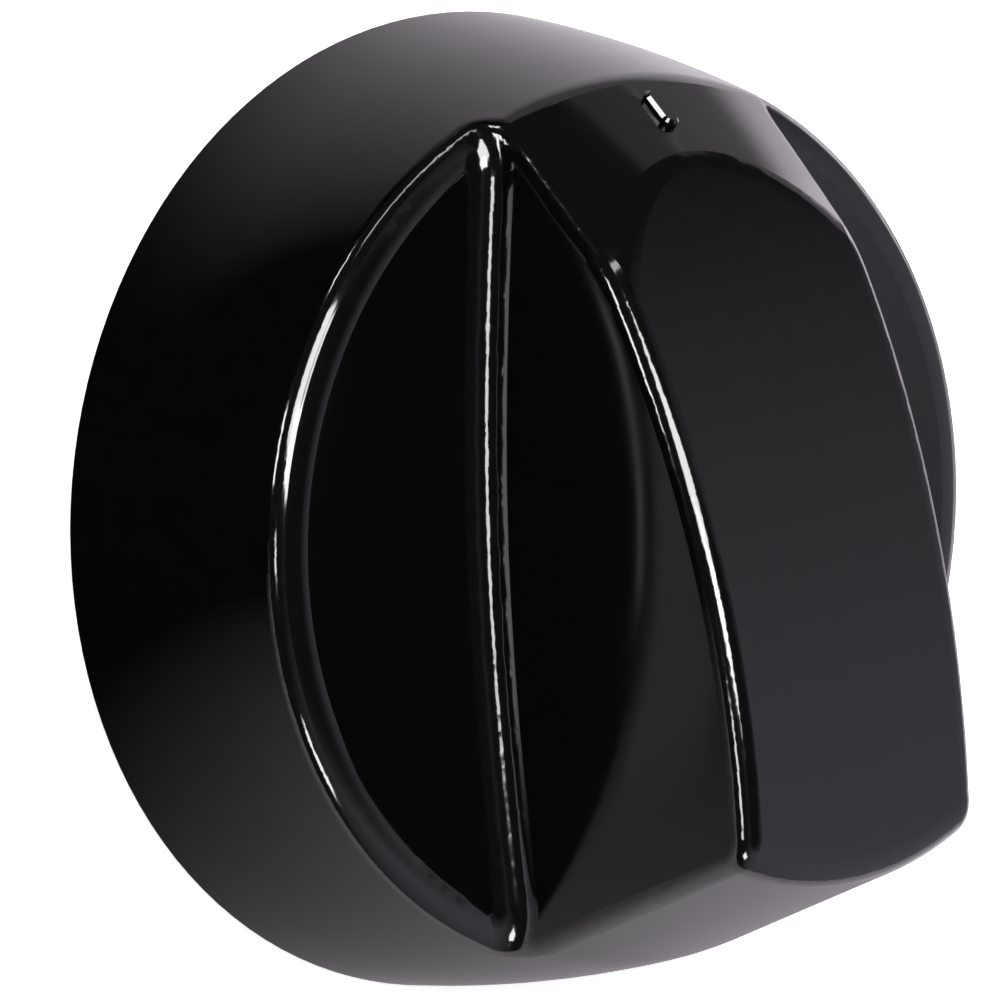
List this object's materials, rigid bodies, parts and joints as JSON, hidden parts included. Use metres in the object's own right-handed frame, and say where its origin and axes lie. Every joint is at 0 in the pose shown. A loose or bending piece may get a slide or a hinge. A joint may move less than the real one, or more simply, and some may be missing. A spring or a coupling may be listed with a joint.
{
  "type": "grill control knob",
  "caption": "Round black control knob: a conical skirt, finger scoops beside a wedge-shaped grip, and a hollow back with a clipped boss whose D-shaped socket takes the spindle.",
  "frame": {"origin": "centre of the back rim, in the plane where the knob faces the panel", "axes": "+Z along the turning axis towards the user, +Y towards the pointer mark, +X to the user's right when the mark is up"},
  "size_m": [0.045, 0.045, 0.0268],
  "materials": {
    "black_moulding": "polished mould gloss",
    "spring_steel": "rolled strip, bright"
  },
  "bodies": {
    "root": {"knob_body": "black_moulding", "retaining_clip": "spring_steel"}
  },
  "joints": []
}
